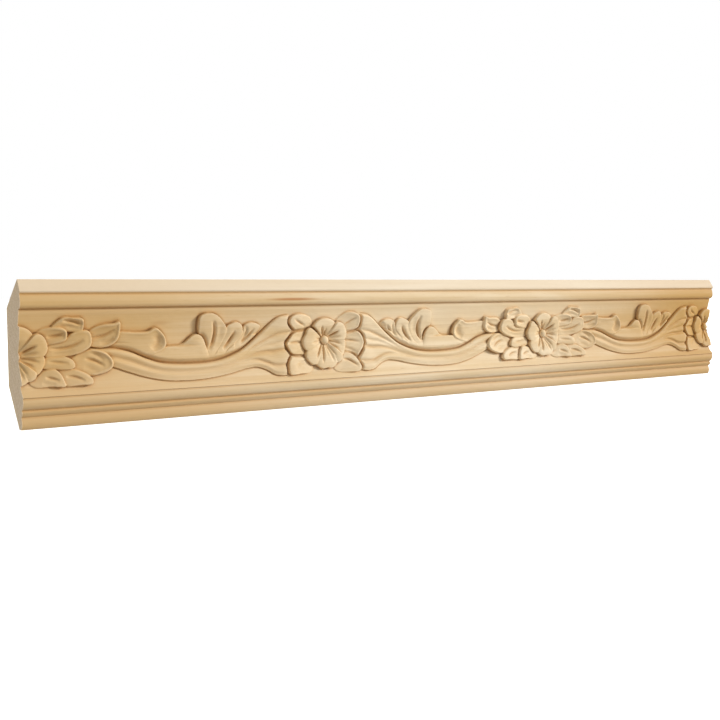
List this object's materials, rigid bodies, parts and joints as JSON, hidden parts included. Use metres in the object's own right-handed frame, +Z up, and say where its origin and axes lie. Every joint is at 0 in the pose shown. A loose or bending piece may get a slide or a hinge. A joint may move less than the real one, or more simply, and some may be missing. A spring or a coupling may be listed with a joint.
{
  "type": "crown moulding",
  "caption": "Carved wooden crown moulding with a flower and trailing vine relief in its cove, between moulded edges.",
  "frame": {"origin": "middle of the lower back bevel, the narrow flat face that lies on the wall, half way along the length", "axes": "+X along the moulding, -Y the side that the carved face looks to, +Z up as the board stands in the picture"},
  "size_m": [0.8781, 0.0377, 0.12],
  "materials": {
    "wood": "sanded bare, unfinished"
  },
  "bodies": {
    "root": {"crown_moulding": "wood"}
  },
  "joints": []
}
